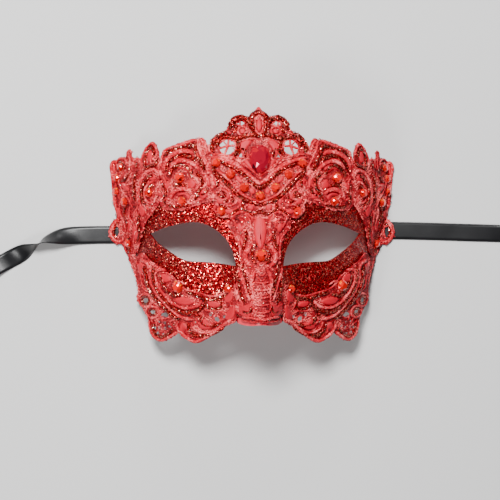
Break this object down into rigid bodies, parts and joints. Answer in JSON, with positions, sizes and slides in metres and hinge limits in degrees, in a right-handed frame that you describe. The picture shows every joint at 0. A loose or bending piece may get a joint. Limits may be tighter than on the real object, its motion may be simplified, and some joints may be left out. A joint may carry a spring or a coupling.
{
  "type": "venetian masquerade mask",
  "caption": "Half-face masquerade mask lying face up: curved shell with eye openings, glued lace scrolls, lace crown, faceted stones and a satin ribbon tie at each temple.",
  "frame": {"origin": "on the surface that the mask lies on, under the middle of its outline, ribbons left out", "axes": "+X to the right of a viewer looking down on the face, +Y towards the crown, +Z out of the face; X = 0 is the mirror plane"},
  "size_m": [0.4225, 0.1293, 0.0657],
  "materials": {
    "painted_shell": "moulded shell, painted coral red, with dense red glitter on the face",
    "lace": "stiffened corded lace, coral thread with glitter between the cords",
    "backing_fabric": "smooth stiffened coral fabric",
    "round_stone": "clear-cut acrylic flat-back stone, foiled red-orange",
    "oval_stone": "clear-cut acrylic flat-back stone, deep ruby",
    "felt": "dense dark felt",
    "satin_ribbon": "black double-face satin"
  },
  "bodies": {
    "mask": {"base_shell": "painted_shell", "crown_backing": "backing_fabric", "crown_lace": "lace", "forehead_lace": "lace", "nose_lace": "lace", "brow_lace_right": "lace", "brow_lace_left": "lace", "temple_lace_right": "lace", "temple_lace_left": "lace", "cheek_lace_right": "lace", "cheek_lace_left": "lace", "crown_stone": "oval_stone", "brow_stone_centre": "round_stone", "nose_stone": "round_stone", "crown_foot_stone_right": "round_stone", "crown_foot_stone_left": "round_stone", "band_stone_right": "round_stone", "band_stone_left": "round_stone", "forehead_stone_right": "round_stone", "forehead_stone_left": "round_stone", "bridge_stone_right": "round_stone", "bridge_stone_left": "round_stone", "brow_stone_right": "round_stone", "brow_stone_left": "round_stone", "brow_scroll_stone_right": "round_stone", "brow_scroll_stone_left": "round_stone", "temple_scroll_stone_right": "round_stone", "temple_scroll_stone_left": "round_stone", "temple_stone_right": "round_stone", "temple_stone_left": "round_stone", "temple_edge_stone_top_right": "round_stone", "temple_edge_stone_top_left": "round_stone", "temple_edge_stone_middle_right": "round_stone", "temple_edge_stone_middle_left": "round_stone", "temple_edge_stone_low_right": "round_stone", "temple_edge_stone_low_left": "round_stone", "tie_stone_right": "round_stone", "tie_stone_left": "round_stone", "cheek_stone_right": "round_stone", "cheek_stone_left": "round_stone", "nostril_stone_right": "round_stone", "nostril_stone_left": "round_stone", "ribbon_end_right": "satin_ribbon", "ribbon_end_left": "satin_ribbon", "ribbon_patch_right": "felt", "ribbon_patch_left": "felt"},
    "tie_right": {"ribbon_right": "satin_ribbon", "ribbon_coil_right": "satin_ribbon"},
    "tie_left": {"ribbon_left": "satin_ribbon", "ribbon_coil_left": "satin_ribbon"}
  },
  "joints": [
    {"name": "tie_fold_right", "type": "hinge", "parent": "mask", "child": "tie_right", "pos_m": [0.0742, -0.0024, 0.0003], "axis": [0, 1, 0], "range_deg": [0, 100]},
    {"name": "tie_fold_left", "type": "hinge", "parent": "mask", "child": "tie_left", "pos_m": [-0.0734, -0.005, 0.0003], "axis": [0, -1, 0], "range_deg": [0, 100]}
  ]
}
